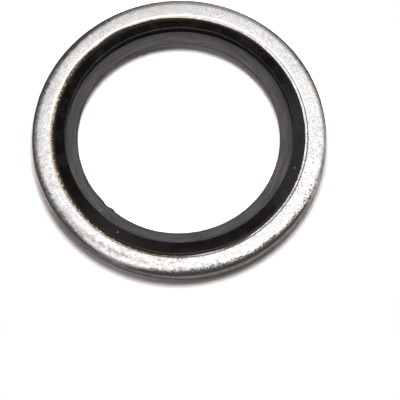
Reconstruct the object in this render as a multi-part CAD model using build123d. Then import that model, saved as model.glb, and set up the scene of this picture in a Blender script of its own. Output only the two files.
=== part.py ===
# Self-centring bonded sealing washer for a G 3/4 pipe thread.
# A flat steel ring holds a rubber seal that is moulded into its bore.  The seal has a rounded
# lip on each side, standing proud of the steel, and a thin flexible web at mid thickness whose
# hole is smaller than the thread, so that the washer centres itself and stays on the bolt.
# Both pieces are bodies of revolution about Z, and are the same above and below mid thickness.
# Origin: centre of the bore, at mid thickness.  Units: mm.
import os
from math import asin, atan2, cos, degrees, hypot, radians, sin

from build123d import *

# Widths, from the thread outwards
lip_bore = 27.28             # clear diameter between the lips, a little over the thread's crests
web_reach = 1.58             # how far the web reaches in from the lips: its hole is 24.12 across
seal_width = 1.31            # rubber from the lips' inner wall to the steel, whose bore is 29.90
ring_width = 2.55            # steel from its bore to its rim, which is 35.00 across

# Steel ring
ring_thickness = 2.50        # from face to face
corner_width = 0.70          # outer corners: how far the rounding reaches across a face
corner_depth = 0.50          # outer corners: how far the rounding reaches down the rim
corner_split = 50.0          # turn of the corner's broad arc, in degrees; the tight arc turns the rest
land_width = 0.35            # band pressed down round the bore, where the mould closes on the ring
land_depth = 0.05            # how far the band lies below the face
land_riser = 0.05            # width of the slope from the band up to the face

# Rubber seal
lip_height = 0.35            # how far a lip stands proud of the steel face
lip_radius = 0.14            # rounding of the lip's crest
crest_turn = 50.0            # turn of that rounding, in degrees; a bevel joins it to the inner wall
foot_drop = 0.04             # how far the rubber's edge on the bore lies below the band
web_thickness = 1.00         # web, from side to side
web_edge_break = 0.16        # corner cut of the web's free edge
web_root_fillet = 0.12       # sloped fillet where the web meets the lips' inner wall

# Radii, and heights above mid thickness
wall_radius = lip_bore / 2
web_radius = wall_radius - web_reach
bond_radius = wall_radius + seal_width
rim_radius = bond_radius + ring_width
face_height = ring_thickness / 2
band_height = face_height - land_depth
foot_height = band_height - foot_drop
crest_height = face_height + lip_height
web_height = web_thickness / 2


def turned(*upper_edges):
    """Ring whose section is the outline above mid thickness and the same outline below it."""
    upper = Curve() + list(upper_edges)
    section = make_face(upper + mirror(upper, about=Plane.XZ))
    return revolve(Plane.XZ * section, axis=Axis.Z)


def oval_corner(face_end, width, depth):
    """Two tangent arcs, broad off the face and tight on to the rim, as tumbling leaves a corner."""
    start = radians(90 - corner_split)
    spread = (width - depth) / (cos(start) + sin(start) - 1)
    tight = depth - spread * (1 - sin(start))
    broad = tight + spread
    broad_centre = (face_end[0], face_end[1] - broad)
    tight_centre = (face_end[0] + width - tight, face_end[1] - depth)
    broad_arc = CenterArc(broad_centre, broad, 90 - corner_split, corner_split)
    tight_arc = CenterArc(tight_centre, tight, 0, 90 - corner_split)
    return [broad_arc, tight_arc]


def steel_ring():
    """Stamped flat ring with rounded outer corners and a pressed band round its bore."""
    band_radius = bond_radius + land_width
    face_end = (rim_radius - corner_width, face_height)
    bore_wall_band_and_face = Polyline(
        (bond_radius, 0),
        (bond_radius, band_height),
        (band_radius, band_height),
        (band_radius + land_riser, face_height),
        face_end,
    )
    corner = oval_corner(face_end, corner_width, corner_depth)
    rim = Line((rim_radius, face_height - corner_depth), (rim_radius, 0))
    return turned(bore_wall_band_and_face, *corner, rim)


def rubber_seal():
    """Moulded seal: centring web, upright inner wall, rounded lip and sloping outer flank."""
    crest_centre = (wall_radius + lip_radius, crest_height - lip_radius)
    foot = (bond_radius, foot_height)
    # The flank is the straight line from the foot that just touches the crest
    reach = foot[0] - crest_centre[0]
    drop = crest_centre[1] - foot[1]
    flank_slope = degrees(atan2(drop, reach) + asin(lip_radius / hypot(reach, drop)))
    crest = CenterArc(crest_centre, lip_radius, 90 - flank_slope, crest_turn)
    web_wall_and_bevel = Polyline(
        (web_radius, 0),
        (web_radius, web_height - web_edge_break),
        (web_radius + web_edge_break, web_height),
        (wall_radius - web_root_fillet, web_height),
        (wall_radius, web_height + web_root_fillet),
        (wall_radius, crest_centre[1]),
        crest @ 1,
    )
    flank_and_bonded_side = Polyline(crest @ 0, foot, (bond_radius, 0))
    return turned(web_wall_and_bevel, crest, flank_and_bonded_side)


os.makedirs("parts", exist_ok=True)
export_step(steel_ring(), "parts/steel_ring.step")
export_step(rubber_seal(), "parts/rubber_seal.step")
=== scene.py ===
# Self-centring bonded sealing washer: a flat steel ring with a rubber seal moulded into its bore.
# The seal has a lip on each side, which stands proud of the steel, and a thin centring web.
# Everything is in metres.  The washer's axis is Z, and its middle is the origin.
from math import asin, atan2, cos, degrees, exp, pi, radians, sin

import bmesh
import bpy
from mathutils import Euler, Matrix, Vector, noise


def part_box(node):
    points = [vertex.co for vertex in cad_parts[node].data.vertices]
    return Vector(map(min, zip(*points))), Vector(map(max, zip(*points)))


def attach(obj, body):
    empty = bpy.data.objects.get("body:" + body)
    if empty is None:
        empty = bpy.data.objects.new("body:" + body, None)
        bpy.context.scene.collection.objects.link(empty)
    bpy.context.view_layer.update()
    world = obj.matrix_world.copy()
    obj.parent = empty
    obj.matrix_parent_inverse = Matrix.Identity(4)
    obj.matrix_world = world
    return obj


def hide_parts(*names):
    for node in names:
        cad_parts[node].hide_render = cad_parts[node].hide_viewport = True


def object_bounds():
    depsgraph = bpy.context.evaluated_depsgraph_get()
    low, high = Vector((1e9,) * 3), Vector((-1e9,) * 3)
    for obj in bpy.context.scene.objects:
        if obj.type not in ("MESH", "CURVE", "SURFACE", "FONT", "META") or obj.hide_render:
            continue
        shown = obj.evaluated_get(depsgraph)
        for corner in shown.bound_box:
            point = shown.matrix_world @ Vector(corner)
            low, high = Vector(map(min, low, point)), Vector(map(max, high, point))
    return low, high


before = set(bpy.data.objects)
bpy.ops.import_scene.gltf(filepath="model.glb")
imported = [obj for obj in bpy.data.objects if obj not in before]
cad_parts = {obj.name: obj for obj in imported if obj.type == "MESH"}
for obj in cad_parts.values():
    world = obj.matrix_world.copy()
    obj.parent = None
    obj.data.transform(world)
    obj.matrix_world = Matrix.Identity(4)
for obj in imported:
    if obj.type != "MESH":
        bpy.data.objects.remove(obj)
cad_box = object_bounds()

# Camera: a long lens, far off on the near side and looking steeply down, a little rolled.
# The washer sits left of and above the middle of the picture.
mm = 0.001
picture_side = 400                         # in pixels
focal_length = 4200                        # in pixels of that picture
washer_pixel = (179.4, 142.95)             # where the middle of the lower steel face shows
lower_face_middle = Vector((0, 0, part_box("steel_ring")[0].z))
look_down = radians(70.2)
camera_roll = radians(-2.11)
camera_distance = 501.8 * mm
nearest_seen = 10 * mm
sensor_width = 36                          # in millimetres, as the lens is

camera_data = bpy.data.cameras.new("camera")
camera_data.sensor_width = sensor_width
camera_data.lens = sensor_width * focal_length / picture_side
camera_data.clip_start = nearest_seen
camera = bpy.data.objects.new("camera", camera_data)
camera.rotation_mode = "ZYX"
camera.rotation_euler = (pi / 2 - look_down, 0, camera_roll)
to_washer = Vector((washer_pixel[0] - picture_side / 2, picture_side / 2 - washer_pixel[1], -focal_length))
turn_of_camera = Euler(camera.rotation_euler, "ZYX").to_matrix()
camera.location = lower_face_middle - turn_of_camera @ to_washer.normalized() * camera_distance
bpy.context.scene.collection.objects.link(camera)
bpy.context.scene.camera = camera

# Table: a plain white card under the washer, which rests on its lower lip.
# It is flat, matt and wide enough to fill every view, and far from the washer it is simply white.
card_reach = 3000 * mm
shadow_reach = 24 * mm
white_from = 31.2 * mm
card_colour = (0.9, 0.9, 0.9, 1)           # as it lights the washer
card_seen = (1.42, 1.37, 1.355, 1)         # as it shows in a view, where its bare parts are white
white = (1, 1, 1, 1)

floor_mesh = bmesh.new()
bmesh.ops.create_circle(floor_mesh, cap_ends=True, radius=card_reach, segments=64)
bmesh.ops.translate(floor_mesh, verts=floor_mesh.verts, vec=(0, 0, cad_box[0].z))
floor_data = bpy.data.meshes.new("floor")
floor_mesh.to_mesh(floor_data)
floor_mesh.free()
floor = bpy.data.objects.new("floor", floor_data)
bpy.context.scene.collection.objects.link(floor)


class Finish:
    """A material, and short names for the nodes that build its pattern."""

    def __init__(self, name):
        self.material = bpy.data.materials.new(name)
        self.material.use_nodes = True
        self.tree = self.material.node_tree
        self.surface = self.tree.nodes["Principled BSDF"]
        self.place = self.node("TexCoord").outputs["Object"]
        self.axes = self.node("SeparateXYZ", self.place).outputs
        self.height = self.axes["Z"]
        self.flat = self.node("CombineXYZ", self.axes["X"], self.axes["Y"], 0).outputs[0]
        self.outward = self.node("VectorMath", self.flat, operation="NORMALIZE").outputs[0]
        self.radius = self.node("VectorMath", self.flat, operation="LENGTH").outputs["Value"]

    def node(self, kind, *values, **settings):
        made = self.tree.nodes.new("ShaderNode" + kind)
        for name, value in settings.items():
            setattr(made, name, value)
        for socket, value in zip(made.inputs, values):
            self.set(socket, value)
        return made

    def set(self, socket, value):
        if isinstance(value, bpy.types.NodeSocket):
            self.tree.links.new(value, socket)
        else:
            socket.default_value = value

    def math(self, operation, *values):
        return self.node("Math", *values, operation=operation).outputs[0]

    def times(self, first, second):
        return self.math("MULTIPLY", first, second)

    def larger(self, first, second):
        return self.math("MAXIMUM", first, second)

    def plus(self, base, part, amount=1.0):
        """The base with some amount of another value added, or taken off where the amount is negative."""
        return self.math("MULTIPLY_ADD", part, amount, base)

    def fade(self, value, start, end, low=0.0, high=1.0):
        """Goes smoothly from low to high while the value goes from start to end."""
        return self.node("MapRange", value, start, end, low, high, interpolation_type="SMOOTHSTEP").outputs[0]

    def line(self, value, middle, core, edge):
        """1 where the value is within a core round its middle, fading to 0 at an edge further out."""
        off_middle = self.math("ABSOLUTE", self.math("SUBTRACT", value, middle))
        return self.fade(off_middle, core, edge, low=1.0, high=0.0)

    def blend(self, amount, first, second):
        """The first colour, or the second where the amount is 1."""
        made = self.node("Mix", data_type="RGBA")
        # These are the places of the node's factor and of its two colours among its inputs
        for index, value in ((0, amount), (6, first), (7, second)):
            self.set(made.inputs[index], value)
        return made.outputs[2]

    def tinted(self, colour, tint):
        return self.node("VectorMath", colour, tint, operation="MULTIPLY").outputs[0]

    def grain(self, size, vector=None, detail=2.0):
        """Noise from 0 to 1 with spots of about the given size."""
        made = self.node("TexNoise")
        self.set(made.inputs["Vector"], vector or self.place)
        made.inputs["Scale"].default_value = 1 / size
        made.inputs["Detail"].default_value = detail
        return made.outputs["Fac"]

    def towards(self, direction, start, end=1.0, low=0.0, high=1.0):
        """Fades in towards the side that lies in a direction, in degrees.

        The start and the end are cosines: 1 is that very direction, 0 is square to it and -1 opposite.
        """
        arm = (cos(radians(direction)), sin(radians(direction)), 0)
        cosine = self.node("VectorMath", self.outward, arm, operation="DOT_PRODUCT").outputs["Value"]
        return self.fade(cosine, start, end, low, high)

    def radius_from(self, x, y):
        """Distance from an axis that stands a little off the middle."""
        return self.node("VectorMath", self.flat, (x, y, 0), operation="DISTANCE").outputs["Value"]

    def near(self, spot, reach):
        """1 at a spot on the piece, and 0 from the given reach away."""
        away = self.node("VectorMath", self.place, spot, operation="DISTANCE").outputs["Value"]
        return self.fade(away, 0.0, reach, low=1.0, high=0.0)

    def relief(self, height, strength, depth):
        made = self.node("Bump")
        made.inputs["Strength"].default_value = strength
        made.inputs["Distance"].default_value = depth
        self.set(made.inputs["Height"], height)
        self.set(self.surface.inputs["Normal"], made.outputs[0])


card = Finish("white_card")
card.surface.inputs["Roughness"].default_value = 1.0
card.surface.inputs["Specular IOR Level"].default_value = 0.0
seen_how = card.node("LightPath").outputs
seen_direct = card.larger(seen_how["Is Camera Ray"], seen_how["Is Glossy Ray"])
seen_direct = card.larger(seen_direct, seen_how["Is Transmission Ray"])
card.set(card.surface.inputs["Base Color"], card.blend(seen_direct, card_colour, card_seen))
bare_white = card.node("Emission", white, 1.0).outputs[0]
simply_white = card.times(seen_direct, card.fade(card.radius, shadow_reach, white_from))
card_surface = card.node("MixShader", simply_white, card.surface.outputs[0], bare_white)
card.tree.links.new(card_surface.outputs[0], card.tree.nodes["Material Output"].inputs["Surface"])
floor_data.materials.append(card.material)

# Light: a round soft lamp, close above the washer and a little behind it.
# A wide dim panel stands on the right and another lower on the left, and the rest of the room is
# almost dark.
room_colour = (0.070, 0.058, 0.057, 1)


def soft_lamp(name, place, radius, brightness):
    """Round lamp that faces the washer; brightness is what it gives the table there, 1 being white."""
    data = bpy.data.lights.new(name, "AREA")
    data.shape = "DISK"
    data.size = 2 * radius
    data.energy = brightness * pi ** 2 * place.length ** 3 / place.z
    lamp = bpy.data.objects.new(name, data)
    lamp.location = place
    lamp.rotation_mode = "QUATERNION"
    lamp.rotation_quaternion = place.to_track_quat("Z", "Y")
    bpy.context.scene.collection.objects.link(lamp)


soft_lamp("key_light", place=Vector((7, 21.5, 170)) * mm, radius=36 * mm, brightness=0.90)
soft_lamp("side_panel", place=Vector((190, 77, 236)) * mm, radius=110 * mm, brightness=0.08)
soft_lamp("left_fill", place=Vector((-268, -47, 127)) * mm, radius=120 * mm, brightness=0.06)
room = bpy.data.worlds.new("room")
room.use_nodes = True
room.node_tree.nodes["Background"].inputs["Color"].default_value = room_colour
bpy.context.scene.world = room
bpy.context.scene.view_settings.view_transform = "Standard"

# Steel ring: a flat ring stamped from strip, tumbled so that its outer corners are rounded over, then
# plated.  The mould closes on a narrow band round the bore and presses it a little below the face.
ring_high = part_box("steel_ring")[1]
seal_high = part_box("rubber_seal")[1]
turn_steps = 720
weld_reach = 0.0001 * mm
rim_radius = ring_high.x
bond_radius = seal_high.x
face_height = ring_high.z
band_depth = 0.05 * mm
band_height = face_height - band_depth
band_width = 0.35 * mm
riser_width = 0.05 * mm
shoulder_lean = radians(9)
shoulder_width = 0.28 * mm
corner_width = 0.70 * mm
crown_lean = radians(2)
broad_turn = radians(48)
broad_radius = 0.95 * mm
full_lean = crown_lean + broad_turn
tight_radius = (corner_width - broad_radius * (sin(full_lean) - sin(crown_lean))) / (1 - sin(full_lean))


class SectionPen:
    """Draws half of a ring's section in the XZ plane, from the middle plane upwards."""

    def __init__(self, radius):
        self.mesh = bmesh.new()
        self.tip = self.mesh.verts.new((radius, 0, 0))
        self.heading = pi / 2

    def to(self, radius, height, steps=1):
        start = self.tip.co.copy()
        end = Vector((radius, 0, height))
        for step in range(1, steps + 1):
            self.tip = bmesh.ops.extrude_vert_indiv(self.mesh, verts=[self.tip])["verts"][0]
            self.tip.co = start.lerp(end, step / steps)
        self.heading = atan2(end.z - start.z, end.x - start.x)

    def bend(self, radius, turn, steps):
        """Rolls on along an arc: a positive turn goes clockwise, outwards and down."""
        side = 1 if turn > 0 else -1
        to_centre = self.heading - side * pi / 2
        centre = self.tip.co + Vector((cos(to_centre), 0, sin(to_centre))) * radius
        rolled = bmesh.ops.spin(self.mesh, geom=[self.tip], cent=centre, axis=(0, 1, 0), angle=turn,
                                steps=steps)
        self.tip = next(v for v in rolled["geom_last"] if isinstance(v, bmesh.types.BMVert))
        self.heading -= turn


def turned(pen):
    """Mirrors the half section below the middle plane and turns it once round the axis."""
    mesh = pen.mesh
    bmesh.ops.mirror(mesh, geom=mesh.verts[:] + mesh.edges[:], merge_dist=weld_reach, axis="Z")
    bmesh.ops.remove_doubles(mesh, verts=mesh.verts, dist=weld_reach)
    bmesh.ops.spin(mesh, geom=mesh.verts[:] + mesh.edges[:], cent=(0, 0, 0), axis=(0, 0, 1),
                   angle=2 * pi, steps=turn_steps, use_merge=True)
    bmesh.ops.remove_doubles(mesh, verts=mesh.verts, dist=weld_reach)
    bmesh.ops.recalc_face_normals(mesh, faces=mesh.faces)
    return mesh


def finished(name, mesh):
    data = bpy.data.meshes.new(name)
    mesh.to_mesh(data)
    mesh.free()
    data.shade_smooth()
    piece = bpy.data.objects.new(name, data)
    bpy.context.scene.collection.objects.link(piece)
    return piece


def share(value, start, end):
    """How far a value has gone from start to end, from 0 to 1."""
    return min(max((value - start) / (end - start), 0), 1)


def swelling(angle, centre, width, height):
    """Height at an angle of a smooth swelling round a centre, with all angles in degrees."""
    away = (angle - centre + 180) % 360 - 180
    return height * exp(-(away / width) ** 2)


def spot_at(radius, angle, height):
    """A place on the washer, by its distance from the axis, its angle in degrees and its height."""
    return (radius * cos(radians(angle)), radius * sin(radians(angle)), height)


pen = SectionPen(bond_radius)
pen.to(bond_radius, band_height, steps=3)
pen.to(bond_radius + band_width, band_height, steps=3)
shoulder_radius = shoulder_width / sin(shoulder_lean)
shoulder_drop = shoulder_radius * (1 - cos(shoulder_lean))
pen.to(bond_radius + band_width + riser_width, face_height - shoulder_drop, steps=2)
pen.heading = shoulder_lean
pen.bend(shoulder_radius, shoulder_lean, steps=6)
crown_width = rim_radius - corner_width - pen.tip.co.x
pen.bend(crown_width / sin(crown_lean), crown_lean, steps=8)
pen.bend(broad_radius, broad_turn, steps=10)
pen.bend(tight_radius, pi / 2 - full_lean, steps=6)
pen.to(rim_radius, 0, steps=4)
ring_mesh = turned(pen)

# Tumbling has rubbed the corner down, most of all on the left, and has left it uneven.
# The corner is fuller on the right and near left, and the lower corner is larger than the upper one.
# Each side is an angle and a width in degrees, and a depth in millimetres, as the other depths are.
rubbed_side = (-165, 60, 0.030)
rubbed_all_round = 0.006
rubbed_from = rim_radius - 1.2 * mm
dent_depth = 0.012
dent_size = 1.1 * mm
dented_from = rim_radius - 1.1 * mm
rubbed_fully = rim_radius - 0.4 * mm
rubbed_height = 0.8 * mm
fuller_sides = ((-20, 36, 0.20), (-125, 20, 0.15))
fuller_from = rim_radius - 1.1 * mm
fullest_from = rim_radius - 0.5 * mm
fullest_until = rim_radius - 0.3 * mm
lower_corner_from = rim_radius - 0.9 * mm
lower_corner_rise = 0.45
for vertex in ring_mesh.verts:
    outwards = vertex.co.xy.length
    angle = degrees(atan2(vertex.co.y, vertex.co.x))
    if vertex.co.z < 0:
        vertex.co.z *= 1 - lower_corner_rise * share(outwards, lower_corner_from, rim_radius)
    rubbed = share(outwards, rubbed_from, rubbed_fully) * (swelling(angle, *rubbed_side) + rubbed_all_round)
    rubbed += share(outwards, dented_from, rubbed_fully) * dent_depth * noise.noise(vertex.co / dent_size)
    fuller = share(outwards, fuller_from, fullest_from) * share(outwards, rim_radius, fullest_until)
    vertex.co.xy *= 1 + sum(swelling(angle, *side) for side in fuller_sides) * mm * fuller / outwards
    vertex.co.z -= rubbed * mm * (1 if vertex.co.z > 0 else -1) * share(abs(vertex.co.z), 0, rubbed_height)
ring = finished("pressed_ring", ring_mesh)

# The plating is bright zinc with soft clouds and fine grit, and it is duller in two patches
cloud_size = 2.5 * mm
grit_size = 0.16 * mm
coarse_grit_size = 0.35 * mm
frills_round = 90
blue_zinc = (0.55, 0.543, 0.572, 1)
warm_zinc = (0.605, 0.59, 0.56, 1)
dull_zinc = (0.48, 0.47, 0.46, 1)
dull_angles = (-100, 97)
dull_radius = rim_radius - 1.4 * mm
dull_reach = 4.5 * mm

steel = Finish("tumbled_steel")
cloud = steel.grain(cloud_size, detail=1.0)
grit = steel.grain(grit_size, detail=1.5)
coarse_grit = steel.grain(coarse_grit_size, detail=2.0)
frill = steel.grain(1 / frills_round, steel.outward, detail=2.0)
plate = steel.blend(cloud, blue_zinc, warm_zinc)
plate = steel.tinted(plate, steel.fade(grit, 0.28, 0.72, low=0.69, high=1.13))
for angle in dull_angles:
    plate = steel.blend(steel.near(spot_at(dull_radius, angle, face_height), dull_reach), plate, dull_zinc)
pepper = steel.plus(steel.plus(-0.85, grit, amount=0.9), coarse_grit, amount=0.8)

# Tumbling leaves dark grit in the corner, which is also painted darker as painted shade, in a band that is
# wider on the left and peppered at its edge.  Each change to it is a direction in degrees, the cosine at
# which it starts and the grit and painted shade it adds.
grit_and_shade_colour = (0.08, 0.075, 0.07, 1)
grit_and_shade_middle = (0.12 * mm, 0.06 * mm)
grit_and_shade_frill = 0.30 * mm
grit_and_shade_from = rim_radius - 0.65 * mm
grit_and_shade_fully = rim_radius + 0.20 * mm
rim_grit_and_shade_from = rim_radius - 0.30 * mm
rim_grit_and_shade_fully = rim_radius - 0.08 * mm
wide_spot = spot_at(rim_radius - 0.6 * mm, -73, face_height)
wide_spot_reach = 10 * mm
wider_by = 0.35 * mm
right_light_above = face_height - 0.70 * mm
right_light_full_above = face_height - 0.40 * mm
bright_spot = spot_at(rim_radius - 0.4 * mm, -118, face_height)
bright_spot_reach = 5 * mm
grit_and_shade_changes = (
    (75, 0.88, -0.50), (148, 0.88, 0.20), (128, 0.95, 0.30), (-121, 0.94, -0.35), (20, 0.93, 0.35),
    (-76, 0.96, -0.12), (-60, 0.97, 0.25), (-44, 0.95, 0.75), (-28, 0.98, -0.40), (178, 0.92, -0.15))
changes_from = rim_radius - 1.10 * mm
changes_fully = rim_radius - 0.55 * mm
unchanged_below = face_height - 0.50 * mm
changed_above = face_height - 0.25 * mm

corner_radius = steel.plus(steel.radius_from(*grit_and_shade_middle), frill, grit_and_shade_frill)
corner_radius = steel.plus(corner_radius, steel.near(wide_spot, wide_spot_reach), wider_by)
grit_and_shade_weight = steel.node("MapRange", corner_radius, grit_and_shade_from, grit_and_shade_fully).outputs[0]
rim_grit_and_shade = steel.fade(steel.radius, rim_grit_and_shade_from, rim_grit_and_shade_fully)
grit_and_shade_weight = steel.plus(grit_and_shade_weight, rim_grit_and_shade, amount=0.45)
# Painted light: the upper corner on the right is painted lighter, where more light falls
painted_light_right = steel.towards(direction=-20, start=0.45, end=0.95)
painted_light_right = steel.times(painted_light_right, steel.fade(steel.height, right_light_above, right_light_full_above))
grit_and_shade_weight = steel.plus(grit_and_shade_weight, painted_light_right, amount=-0.70)
grit_and_shade_weight = steel.plus(grit_and_shade_weight, steel.near(bright_spot, bright_spot_reach), amount=-0.6)
more_grit_and_shade = 0
for direction, start, amount in grit_and_shade_changes:
    more_grit_and_shade = steel.plus(more_grit_and_shade, steel.towards(direction, start), amount)
more_grit_and_shade = steel.times(more_grit_and_shade, steel.fade(steel.radius, changes_from, changes_fully))
changed_part = steel.fade(steel.height, unchanged_below, changed_above)
changed_part = steel.larger(changed_part, steel.towards(direction=-28, start=0.80, end=0.90))
grit_and_shade_weight = steel.plus(grit_and_shade_weight, steel.times(more_grit_and_shade, changed_part))
corner_grit_and_shade = steel.fade(steel.plus(grit_and_shade_weight, pepper, amount=1.1), 0.05, 0.95)

# An older seat has left a worn, greyer track, which crosses the face on the near left
worn_zinc = (0.19, 0.185, 0.17, 1)
track_middle = (-0.33 * mm, 0.62 * mm)
track_radius = rim_radius - 0.70 * mm
track_half_width = 0.85 * mm

track = steel.line(steel.radius_from(*track_middle), track_radius, 0.0, track_half_width)
track = steel.times(track, steel.towards(direction=-130, start=0.75, end=0.97, high=0.9))
fine_pepper = steel.plus(-0.95, grit, amount=1.9)
worn = steel.fade(steel.plus(fine_pepper, steel.plus(track, pepper, amount=0.4)), 0.40, 1.50)
plate = steel.blend(worn, plate, worn_zinc)

# The rim's upright side is painted lighter as painted light, and low on the near side it is painted dark as
# painted shade
low_shade_colour = (0.035, 0.031, 0.028, 1)
rim_light_below = face_height - 0.50 * mm
rim_light_full_below = face_height - 0.90 * mm
low_shade_height = -0.58 * mm
low_shade_slant = 0.03
low_shade_core = 0.25 * mm
low_shade_edge = 0.75 * mm

# Painted light: the rim's upright side is painted lighter, most on the left
painted_rim_light = steel.towards(direction=188, start=0.90, end=1.00, low=0.05, high=0.85)
painted_rim_light = steel.larger(painted_rim_light, steel.towards(direction=80, start=-0.1, end=0.4, high=0.55))
painted_rim_light = steel.larger(painted_rim_light, steel.towards(direction=-58, start=0.50, end=0.90, high=0.30))
painted_rim_light = steel.times(painted_rim_light, steel.fade(steel.height, rim_light_full_below, rim_light_below, low=1.0, high=0.0))
corner_grit_and_shade = steel.times(corner_grit_and_shade, steel.math("SUBTRACT", 1.0, painted_rim_light))
# The corner's grit and painted shade are painted onto the plating
plate = steel.blend(corner_grit_and_shade, plate, grit_and_shade_colour)
# Painted shade: a dark band low on the near side of the rim, where the shaded table shows
painted_low_shade = steel.line(steel.plus(steel.height, steel.axes["X"], low_shade_slant), low_shade_height, low_shade_core, low_shade_edge)
painted_low_shade = steel.times(painted_low_shade, steel.towards(direction=-82, start=0.35, end=0.75))
plate = steel.blend(painted_low_shade, plate, low_shade_colour)

# Small pits lie along the inner part of the face, in two places on the near side, and scuffs lie on the
# corner on the near right.  Each place is an angle in degrees and a reach.
pit_colour = (0.10, 0.085, 0.07, 1)
pit_size = 0.24 * mm
pit_places = ((-94, 4.5 * mm), (-25, 5.0 * mm))
pit_radius = bond_radius + 0.70 * mm
pits_until = bond_radius + 0.95 * mm
no_pits_from = bond_radius + 1.15 * mm
scuffs_from = rim_radius - 1.05 * mm
scuffs_fully = rim_radius - 0.45 * mm

pit_weight = 0
for angle, reach in pit_places:
    pit_weight = steel.plus(pit_weight, steel.near(spot_at(pit_radius, angle, face_height), reach))
pit_weight = steel.times(pit_weight, steel.fade(steel.radius, pits_until, no_pits_from, low=1.0, high=0.0))
scuffs = steel.fade(steel.radius, scuffs_from, scuffs_fully)
scuffs = steel.times(scuffs, steel.towards(direction=-56, start=0.72, end=0.93))
pit_weight = steel.plus(pit_weight, scuffs, amount=2.1)
pits = steel.fade(steel.plus(steel.grain(pit_size, detail=0.0), pit_weight, amount=0.13), 0.80, 0.86)
plate = steel.blend(pits, plate, pit_colour)

# On the far side of the washer a painted highlight runs round the face, just outside the pressed band
highlight_line_colour = (0.68, 0.67, 0.66, 1)
highlight_line_radius = bond_radius + 0.55 * mm
highlight_line_core = 0.03 * mm
highlight_line_edge = 0.16 * mm

painted_highlight_line = steel.line(steel.radius, highlight_line_radius, highlight_line_core, highlight_line_edge)
painted_highlight_line = steel.times(painted_highlight_line, steel.towards(direction=85, start=-0.1, end=0.6))
plate = steel.blend(painted_highlight_line, plate, highlight_line_colour)

# Bonding agent stains the pressed band brown and gold on the left, and elsewhere it is grey.
# Each blot is an angle in degrees and a reach, and each gap a direction, the cosine at which it starts
# and a depth.
grey_agent = (0.060, 0.055, 0.050, 1)
brown_agent = (0.045, 0.032, 0.021, 1)
gold_agent = (0.33, 0.26, 0.175, 1)
warm_tint = (1.0, 0.94, 0.83, 1)
stain_whole_until = bond_radius + 0.06 * mm
stain_gone_from = bond_radius + 0.24 * mm
stain_short_by = 0.08 * mm
stain_frill = 0.22 * mm
stain_left_by = 0.125 * mm
stain_blots = ((-97, 5.0 * mm), (119, 3.0 * mm), (143, 4.2 * mm), (-66, 3.5 * mm))
blot_radius = bond_radius + 0.25 * mm
blot_by = 0.17 * mm
stain_gaps = ((15, 0.75, 0.12 * mm), (80, 0.93, 0.06 * mm))
warm_until = bond_radius + 0.25 * mm
plain_from = bond_radius + 0.65 * mm

left_side = steel.towards(direction=172, start=-0.5, end=0.5)
gold_side = steel.towards(direction=200, start=0.15, end=0.75)
stain_reach = steel.plus(steel.plus(-stain_short_by, frill, stain_frill), left_side, stain_left_by)
for angle, reach in stain_blots:
    blot = steel.near(spot_at(blot_radius, angle, band_height), reach)
    stain_reach = steel.plus(stain_reach, blot, blot_by)
for direction, start, depth in stain_gaps:
    stain_reach = steel.plus(stain_reach, steel.towards(direction, start), -depth)
stain_radius = steel.math("SUBTRACT", steel.radius, stain_reach)
stain = steel.fade(stain_radius, stain_whole_until, stain_gone_from, low=1.0, high=0.0)
gold = steel.blend(steel.fade(grit, 0.42, 0.62), brown_agent, gold_agent)
warm_edge = steel.times(left_side, steel.fade(steel.radius, warm_until, plain_from, low=1.0, high=0.0))
plate = steel.tinted(plate, steel.blend(warm_edge, white, warm_tint))
plate = steel.blend(stain, plate, steel.blend(gold_side, grey_agent, gold))

# A fine line of painted shade lies in the corner of the pressed band, most on the near right
corner_line_shade_colour = (0.07, 0.057, 0.045, 1)
line_radius = bond_radius + band_width + 0.5 * riser_width
line_core = 0.025 * mm
line_edge = 0.095 * mm

corner_line_shade = steel.line(steel.radius, line_radius, line_core, line_edge)
corner_line_shade = steel.times(corner_line_shade, steel.towards(direction=-42, start=-0.2, end=0.9, low=0.15, high=0.95))
plate = steel.blend(corner_line_shade, plate, corner_line_shade_colour)
steel.set(steel.surface.inputs["Base Color"], plate)
steel.set(steel.surface.inputs["Metallic"], steel.plus(1.0, corner_grit_and_shade, amount=-0.5))
far_grit_and_shade = steel.times(corner_grit_and_shade, steel.towards(direction=95, start=-0.2, end=0.3))
dullness = steel.larger(steel.fade(coarse_grit, 0.3, 0.7, low=0.54, high=0.64), far_grit_and_shade)
steel.set(steel.surface.inputs["Roughness"], dullness)
steel.relief(grit, strength=0.6, depth=0.02 * mm)
ring.data.materials.append(steel.material)
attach(ring, "root")
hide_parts("steel_ring")

# Rubber seal: nitrile rubber moulded and bonded into the ring's bore.
# A rounded lip stands proud on each side, and a thin web at mid thickness grips the thread.
lip_wall = 13.575 * mm
lip_round = 0.045 * mm
crest_height = seal_high.z
web_edge = 12.07 * mm
web_half = 0.50 * mm
web_edge_round = 0.30 * mm
web_root_round = 0.12 * mm
flash_height = band_height + 0.02 * mm
flash_reach = 0.02 * mm
foot_radius = bond_radius - 0.05 * mm

pen = SectionPen(web_edge)
pen.to(web_edge, web_half - web_edge_round, steps=2)
pen.bend(web_edge_round, pi / 2, steps=6)
pen.to(lip_wall - web_root_round, web_half, steps=10)
pen.bend(web_root_round, -pi / 2, steps=5)
pen.to(lip_wall, crest_height - lip_round, steps=4)
crest_centre = pen.tip.co + Vector((lip_round, 0, 0))
to_foot = Vector((foot_radius, 0, flash_height)) - crest_centre
flank_slope = asin(lip_round / to_foot.length) + atan2(-to_foot.z, to_foot.x)
pen.bend(lip_round, pi / 2 + flank_slope, steps=10)
pen.to(foot_radius, flash_height, steps=10)
pen.to(bond_radius + flash_reach, flash_height, steps=2)
pen.to(bond_radius + flash_reach, band_height)
pen.to(bond_radius, band_height)
pen.to(bond_radius, 0, steps=3)
seal_mesh = turned(pen)

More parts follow.
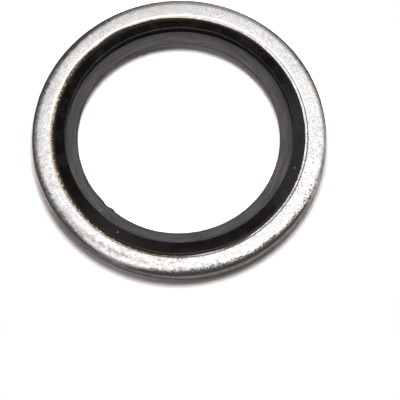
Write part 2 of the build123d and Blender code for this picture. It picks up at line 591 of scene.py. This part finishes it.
# Thin flash has run out over the steel, the web's edge is nicked, and its lower edge is cut back on
# the far left.  Each run or mark is an angle and a width in degrees, and a reach in millimetres.
flash_runs = (
    (105, 22, 0.21), (136, 7, 0.14), (174, 5, 0.08), (-110, 22, 0.12), (-80, 50, 0.05), (5, 35, -0.03))
flash_all_round = 0.03
flash_wander = 0.04
flash_wander_size = 0.5 * mm
flash_ragged = 0.4
flash_ragged_size = 0.3 * mm
edge_marks = (
    (-143, 5, -0.07), (-138, 1.5, 0.10), (-133.3, 1.6, -0.13), (-133, 14, -0.05), (165, 20, 0.05),
    (-85, 80, -0.15))
edge_wander = 0.012
edge_wander_size = 1.0 * mm
mark_depth = 0.35 * mm
cut_back = (116, 30, 0.22)
uncut_above = 0.25 * mm
cut_below = -0.35 * mm
lip_shift = Vector((0.025, 0.09)) * mm
web_shift = Vector((-0.025, -0.02)) * mm
web_flat = web_edge + 0.53 * mm
flank_middle = bond_radius - 0.65 * mm
for vertex in seal_mesh.verts:
    outwards = vertex.co.xy.length
    angle = degrees(atan2(vertex.co.y, vertex.co.x))
    moved = 0
    if outwards > bond_radius + 0.5 * flash_reach:
        moved = flash_all_round + flash_wander * noise.noise(vertex.co / flash_wander_size)
        ragged = 1 + flash_ragged * noise.noise(vertex.co / flash_ragged_size)
        moved += sum(swelling(angle, *run) for run in flash_runs) * ragged
    elif outwards < lip_wall:
        moved = swelling(angle, *cut_back) * share(vertex.co.z, uncut_above, cut_below)
        moved += sum(swelling(angle, *mark) for mark in edge_marks)
        moved += edge_wander * noise.noise(vertex.co / edge_wander_size)
        moved *= exp(-(outwards - web_edge) / mark_depth)
    vertex.co.xy *= 1 + moved * mm / outwards
    vertex.co.xy += web_shift * share(outwards, lip_wall, web_flat)
    on_lip = share(outwards, web_flat, lip_wall) * share(outwards, bond_radius, flank_middle)
    vertex.co.xy += lip_shift * on_lip
seal = finished("moulded_seal", seal_mesh)

# The web is grey with streaks from the mould, which run round it.  It is painted lighter on the right as
# painted light and darker towards the lip as painted shade, the underside of its edge is painted pale as a
# painted reflection of the white table, and two places on it are smeared.  Each smear is an angle and a
# reach.
dark_streak = (0.038, 0.037, 0.038, 1)
light_streak = (0.073, 0.069, 0.069, 1)
left_tint = (1.02, 0.985, 1.03, 1)
right_light_tint = (1.28, 1.20, 1.17, 1)
table_reflection_colour = (0.15, 0.142, 0.14, 1)
smear_colour = (0.084, 0.074, 0.070, 1)
streak_length = 3.0 * mm
streaks_across = 12.0
shade_middle = (-0.35 * mm, -0.15 * mm)
shade_from = web_edge + 0.23 * mm
shade_fully = flank_middle
pale_below = 0.05 * mm - web_half
grey_above = web_half - 0.20 * mm
smears = ((-28, 6.5 * mm), (-158, 5.0 * mm))
smear_radius = web_flat

rubber = Finish("nitrile")
rubber.surface.inputs["IOR"].default_value = 1.35
spread_radius = rubber.times(rubber.radius, streaks_across)
streaky = rubber.node("CombineXYZ", rubber.axes["X"], rubber.axes["Y"], spread_radius).outputs[0]
streaks = rubber.grain(streak_length, streaky, detail=2.0)
web_grey = rubber.blend(rubber.fade(streaks, 0.3, 0.7), dark_streak, light_streak)
# Painted light: the web is painted lighter on the right side
web_light_side = rubber.towards(direction=20, start=-0.3, end=0.7)
web_grey = rubber.tinted(web_grey, rubber.blend(web_light_side, left_tint, right_light_tint))
in_shade = rubber.fade(rubber.radius_from(*shade_middle), shade_from, shade_fully, low=1.0, high=0.30)
web_grey = rubber.tinted(web_grey, in_shade)
# Painted reflection: the underside of the web's edge is painted pale, as the white table would show in it
painted_table_reflection = rubber.fade(rubber.height, pale_below, grey_above, low=1.0, high=0.0)
web_grey = rubber.blend(painted_table_reflection, web_grey, table_reflection_colour)
for angle, reach in smears:
    smear = rubber.near(spot_at(smear_radius, angle, web_half), reach)
    smear = rubber.times(smear, rubber.fade(streaks, 0.35, 0.60))
    web_grey = rubber.blend(smear, web_grey, smear_colour)

# The lip is black and shiny, with patches of dust and three pale specks.  A brown film of bonding
# agent lies at its foot.  Each speck is a radius, an angle in degrees and a height.
clean_black = (0.0050, 0.0046, 0.0043, 1)
dusty_black = (0.023, 0.021, 0.020, 1)
film_colour = (0.018, 0.012, 0.007, 1)
speck_colour = (0.22, 0.21, 0.20, 1)
dust_size = 0.2 * mm
dust_patch_size = 1.6 * mm
dusty_spot = spot_at(flank_middle, -125, crest_height)
dusty_spot_reach = 8 * mm
web_until = lip_wall - 0.075 * mm
lip_from = lip_wall + 0.085 * mm
film_from = bond_radius - 0.20 * mm
film_fully = bond_radius + 0.15 * mm
film_dull_from = bond_radius - 0.05 * mm
film_frill = 0.25 * mm
specks = (
    (13.02 * mm, -137.6, 0.50 * mm), (14.16 * mm, -122.6, 1.42 * mm), (14.33 * mm, -19.0, 1.36 * mm))
speck_reach = 0.17 * mm

dust = rubber.grain(dust_size, detail=1.5)
dusty = rubber.fade(rubber.grain(dust_patch_size, detail=3.0), 0.42, 0.70, high=0.5)
dusty = rubber.larger(dusty, rubber.near(dusty_spot, dusty_spot_reach))
on_web = rubber.fade(rubber.radius, web_until, lip_from, low=1.0, high=0.0)
film = rubber.fade(rubber.plus(rubber.radius, dust, film_frill), film_from, film_fully)
black = rubber.blend(dusty, clean_black, dusty_black)
black = rubber.blend(on_web, black, web_grey)
black = rubber.blend(film, black, film_colour)
for speck in specks:
    black = rubber.blend(rubber.near(spot_at(*speck), speck_reach), black, speck_colour)
rubber.set(rubber.surface.inputs["Base Color"], black)
polish = rubber.fade(on_web, 0.0, 1.0, low=0.18, high=0.60)
polish = rubber.larger(polish, rubber.fade(rubber.radius, film_from, film_dull_from, high=0.80))
rubber.set(rubber.surface.inputs["Roughness"], polish)
rubber.relief(dust, strength=0.3, depth=0.01 * mm)
seal.data.materials.append(rubber.material)
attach(seal, "root")
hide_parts("rubber_seal")
